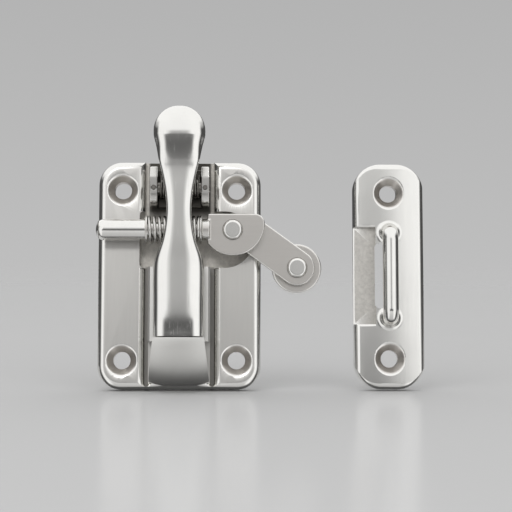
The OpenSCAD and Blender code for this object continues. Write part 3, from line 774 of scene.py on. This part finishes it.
def make_lever():
    """The lever, whose solid is already round."""
    piece = fresh_copy("lever")
    smooth(piece, LEVER_SMOOTH_ANGLE, weighted=False)
    put(piece, "lever", lever_steel())


def make_keeper_bail(material):
    """The bail, a round bar that needs no easing."""
    piece = fresh_copy("keeper_bail")
    smooth(piece)
    put(piece, "keeper_bail", material)


def make_end_pin(material):
    """The round pin, its domed left end run smoothly into its side."""
    piece = fresh_copy("end_pin")
    round_left_end(piece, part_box("end_pin")[0].x + DOME_REACH, DOME_ROUND, DOME_STEPS)
    ease_edges(piece, PIN_EDGE, EDGE_STEPS)
    smooth(piece)
    put(piece, "end_pin", material)


def make_spring(node, material):
    """A spring with its finish, left where it stands and tied to no body."""
    piece = fresh_copy(node)
    smooth(piece, COIL_SMOOTH_ANGLE, weighted=False)
    piece.data.materials.append(material)
    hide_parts(node)
    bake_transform(piece)


def make_springs(wire, hinge_shaded):
    """The bar's two springs, held by the lever's sides, and the lever's return springs."""
    make_spring("left_spring", wire)
    make_spring("right_spring", wire)
    make_spring("return_springs", hinge_shaded)


def dress():
    """Gives every node its finished piece."""
    polished = polished_steel()
    # A dark copy of the polished steel that paints the slot's shade on the hinge's pins, rivets and return
    # springs
    hinge_shaded = polished_steel("hinge_shaded_steel", HINGE_SHADE, HINGE_SHADE_ROUGH)
    wire = polished_steel("spring_wire", WIRE, WIRE_ROUGH)
    strip_steel = satin_steel("satin_across", STRIP, STRIP_STRETCH)
    plastic = acetal()

    make_base_plate()
    make_keeper_plate()
    make_lever()
    make_keeper_bail(polished)
    finished("hinge_bracket", bracket_steel(), BRACKET_EDGE, EDGE_STEPS)
    for node in ("draw_bar", "arm"):
        finished(node, strip_steel, STRIP_EDGE, FINE_STEPS)
    finished("roller", strip_steel, ROLLER_EDGE, EDGE_STEPS)
    make_end_pin(polished)
    for node in ("arm_rivet", "roller_axle"):
        finished(node, polished, RIVET_EDGE, FINE_STEPS)
    for node in ("hinge_pin", "hinge_lock_pins", "bracket_rivets"):
        finished(node, hinge_shaded, SMALL_EDGE, SMALL_STEPS)
    for node in ("spring_washers", "arm_tail_washer"):
        finished(node, strip_steel, WASHER_EDGE, SMALL_STEPS)
    for node in ("arm_washer", "roller_washers", "roller_bush"):
        finished(node, plastic, SMALL_EDGE, SMALL_STEPS)
    make_springs(wire, hinge_shaded)


# Studio

# Linear greys of the backdrop from the bottom of the picture to its top, and the heights between them
BACKDROP_LOW = 0.57
BACKDROP_HIGH = 0.455
BACKDROP_SPAN = (-0.08, 0.28)

# Light by direction. A ladder of (height, grey) steps runs from the table up to the top light.
LADDER = [(-1.0, 0.50), (-0.65, 0.58), (-0.4, 0.68), (-0.27, 0.64), (-0.21, 0.10), (-0.09, 0.09),
          (-0.05, 0.15), (0.01, 0.16), (0.05, 0.42), (0.19, 0.46), (0.27, 0.95), (1.0, 0.98)]
TOP_LIGHT = LADDER[-1][1]
TOP_SPAN = (0.35, 0.6)
STUDIO_STRENGTH = 1.28
# Two side banks stand beside the ladder, and start further out below the horizon
SIDE_LEFT = 0.93
SIDE_RIGHT = 0.98
SIDE_SPAN = (-0.5, 0.5)
LEFT_START = 0.11
RIGHT_START = 0.06
START_SPAN = (-0.05, 0.05)
LOW_SPAN = (0.03, -0.035)
LOW_SHIFT = 0.24
SIDE_WIDTH = 0.18
# Behind the latch it is dark, and dark flags beside the banks draw the rims on upright rounded sides
BACK_DARK = 0.07
BEHIND_SPAN = (-0.25, 0.08)
FLAG_SPAN = (0.6, 0.85)
FLAG_SHIFT = 0.32

# Table: the latch leans back on it, so it falls away towards the camera
TABLE_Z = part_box("base_plate")[0].z
TABLE_TILT = 8.0
TABLE_RADIUS = 1.2
TABLE_GREY = 0.53
TABLE_ROUGH = 0.6
TABLE_GLOSS = 0.16
GLOSS_GREY = 0.9
GLOSS_ROUGH = 0.2
AHEAD_SPAN = (0.0, -0.004)
FADE_SPAN = (0.2, 1.0)

# Lamps: place, size and radiance
KEY_PLACE = (-0.18, -0.34, 0.42)
KEY_SIZE = (0.35, 0.25)
KEY_RADIANCE = 1.2
FRONT_PLACE = (-0.10, -0.56, 0.29)
FRONT_SIZE = (0.16, 0.10)
FRONT_RADIANCE = 18.0


def grey(value):
    """A neutral colour."""
    return (value, value, value)


def ramp(tree, value, stops):
    """A grey ramp, straight between its (place, grey) stops."""
    made = add(tree, "ShaderNodeValToRGB")
    band = made.color_ramp
    band.interpolation = "LINEAR"
    for element, (place, tone) in zip(band.elements, (stops[0], stops[-1])):
        element.position = place
        element.color = (*grey(tone), 1.0)
    for place, tone in stops[1:-1]:
        band.elements.new(place).color = (*grey(tone), 1.0)
    give(tree, value, made.inputs["Fac"])
    return made.outputs["Color"]


def studio_light(tree):
    """The ladder in the middle, the banks beside it, and the dark behind."""
    x, y, z = axes_of(tree, "Generated")
    across = math_node(tree, "ABSOLUTE", x)
    level = remap(tree, z, (-1.0, 1.0))
    middle = ramp(tree, level, [((height + 1) / 2, tone) for height, tone in LADDER])
    bank = mix_color(tree, remap(tree, x, SIDE_SPAN), grey(SIDE_LEFT), grey(SIDE_RIGHT))
    bank = mix_color(tree, remap(tree, z, TOP_SPAN), bank, grey(TOP_LIGHT))
    start = total(tree, remap(tree, x, START_SPAN, (LEFT_START, RIGHT_START)),
                  remap(tree, z, LOW_SPAN, (0.0, LOW_SHIFT)))
    aside = remap(tree, math_node(tree, "SUBTRACT", across, start), (0.0, SIDE_WIDTH))
    lit = mix_color(tree, aside, middle, bank)
    flags = remap(tree, across, FLAG_SPAN, (0.0, FLAG_SHIFT))
    behind = remap(tree, total(tree, y, flags), BEHIND_SPAN)
    below_top = remap(tree, z, TOP_SPAN[::-1])
    return mix_color(tree, product(tree, behind, below_top), lit, grey(BACK_DARK))


def make_world():
    """Soft light from the sides and the top, with a grey backdrop for what the camera sees directly."""
    world = bpy.data.worlds.new("studio")
    bpy.context.scene.world = world
    world.use_nodes = True
    tree = world.node_tree
    tree.nodes.clear()
    height = axes_of(tree, "Generated")[2]
    upright = mix_color(tree, remap(tree, height, BACKDROP_SPAN), grey(BACKDROP_LOW), grey(BACKDROP_HIGH))
    backdrop = add(tree, "ShaderNodeBackground")
    give(tree, upright, backdrop.inputs["Color"])
    light = add(tree, "ShaderNodeBackground")
    light.inputs["Strength"].default_value = STUDIO_STRENGTH
    give(tree, studio_light(tree), light.inputs["Color"])
    seen = add(tree, "ShaderNodeLightPath").outputs["Is Camera Ray"]
    mixed = mix_shader(tree, seen, light.outputs["Background"], backdrop.outputs["Background"])
    give(tree, mixed, add(tree, "ShaderNodeOutputWorld").inputs["Surface"])


def table_finish():
    """Pale and glossy, fading into the backdrop; metal sees through it to the studio's low light."""
    material, tree, shader = new_material("table_top", grey(TABLE_GREY), TABLE_ROUGH, metallic=0.0)
    shader.inputs["Specular IOR Level"].default_value = 0.0
    gloss = add(tree, "ShaderNodeBsdfGlossy")
    gloss.inputs["Roughness"].default_value = GLOSS_ROUGH
    gloss.inputs["Color"].default_value = (*grey(GLOSS_GREY), 1.0)
    clear = add(tree, "ShaderNodeBsdfTransparent").outputs["BSDF"]
    shine = mix_shader(tree, TABLE_GLOSS, shader.outputs["BSDF"], gloss.outputs["BSDF"])
    ahead = remap(tree, axes_of(tree, "Object")[1], AHEAD_SPAN)
    mirrored = add(tree, "ShaderNodeLightPath").outputs["Is Glossy Ray"]
    unseen = mix_shader(tree, product(tree, ahead, mirrored), shine, clear)
    reach = add(tree, "ShaderNodeVectorMath", operation="LENGTH")
    give(tree, object_vector(tree), reach.inputs[0])
    seamless = mix_shader(tree, remap(tree, reach.outputs["Value"], FADE_SPAN), unseen, clear)
    out = next(n for n in tree.nodes if n.type == "OUTPUT_MATERIAL")
    give(tree, seamless, out.inputs["Surface"])
    return material


def make_table():
    """A round table top under the latch."""
    deselect()
    bpy.ops.mesh.primitive_circle_add(
        vertices=ROUND_SIDES, radius=TABLE_RADIUS, fill_type="NGON",
        location=(AIM.x, 0, TABLE_Z), rotation=(math.radians(TABLE_TILT), 0, 0))
    table = bpy.context.object
    table.name = "table_top"
    table.data.materials.append(table_finish())


def aim(thing, place):
    """Puts a lamp or a camera in its place and turns it to the latch."""
    thing.location = place
    thing.rotation_euler = (AIM - thing.location).to_track_quat("-Z", "Y").to_euler()


def softbox(name, place, size, radiance):
    """An area lamp that faces the latch."""
    lamp = bpy.data.lights.new(name, "AREA")
    lamp.shape = "RECTANGLE"
    lamp.size, lamp.size_y = size
    lamp.energy = radiance * math.pi * size[0] * size[1]
    box = bpy.data.objects.new(name, lamp)
    bpy.context.scene.collection.objects.link(box)
    aim(box, Vector(place))
    return box


def make_lamps():
    """A key bank that metal doesn't mirror, and a front lamp that lights only the base."""
    key = softbox("key_bank", KEY_PLACE, KEY_SIZE, KEY_RADIANCE)
    key.visible_glossy = False
    front = softbox("front_lamp", FRONT_PLACE, FRONT_SIZE, FRONT_RADIANCE)
    chosen = bpy.data.collections.new("front_lamp_lights")
    chosen.objects.link(bpy.data.objects["base_plate_finished"])
    front.light_linking.receiver_collection = chosen


def make_camera():
    """A camera at the photograph's angle, framed to its scale."""
    camera = bpy.data.cameras.new("camera")
    camera.sensor_width = SENSOR
    camera.lens = SENSOR * CAMERA_DISTANCE / (PHOTO_SIZE * MM_PER_PIXEL * MM)
    holder = bpy.data.objects.new("camera", camera)
    bpy.context.scene.collection.objects.link(holder)
    tilt, turn = math.radians(CAMERA_ELEVATION), math.radians(CAMERA_AZIMUTH)
    away = Vector((-math.sin(turn) * math.cos(tilt), -math.cos(turn) * math.cos(tilt), math.sin(tilt)))
    aim(holder, AIM + CAMERA_DISTANCE * away)
    bpy.context.scene.camera = holder


make_camera()
dress()
make_world()
make_table()
make_lamps()
bpy.context.scene.view_settings.view_transform = "Standard"
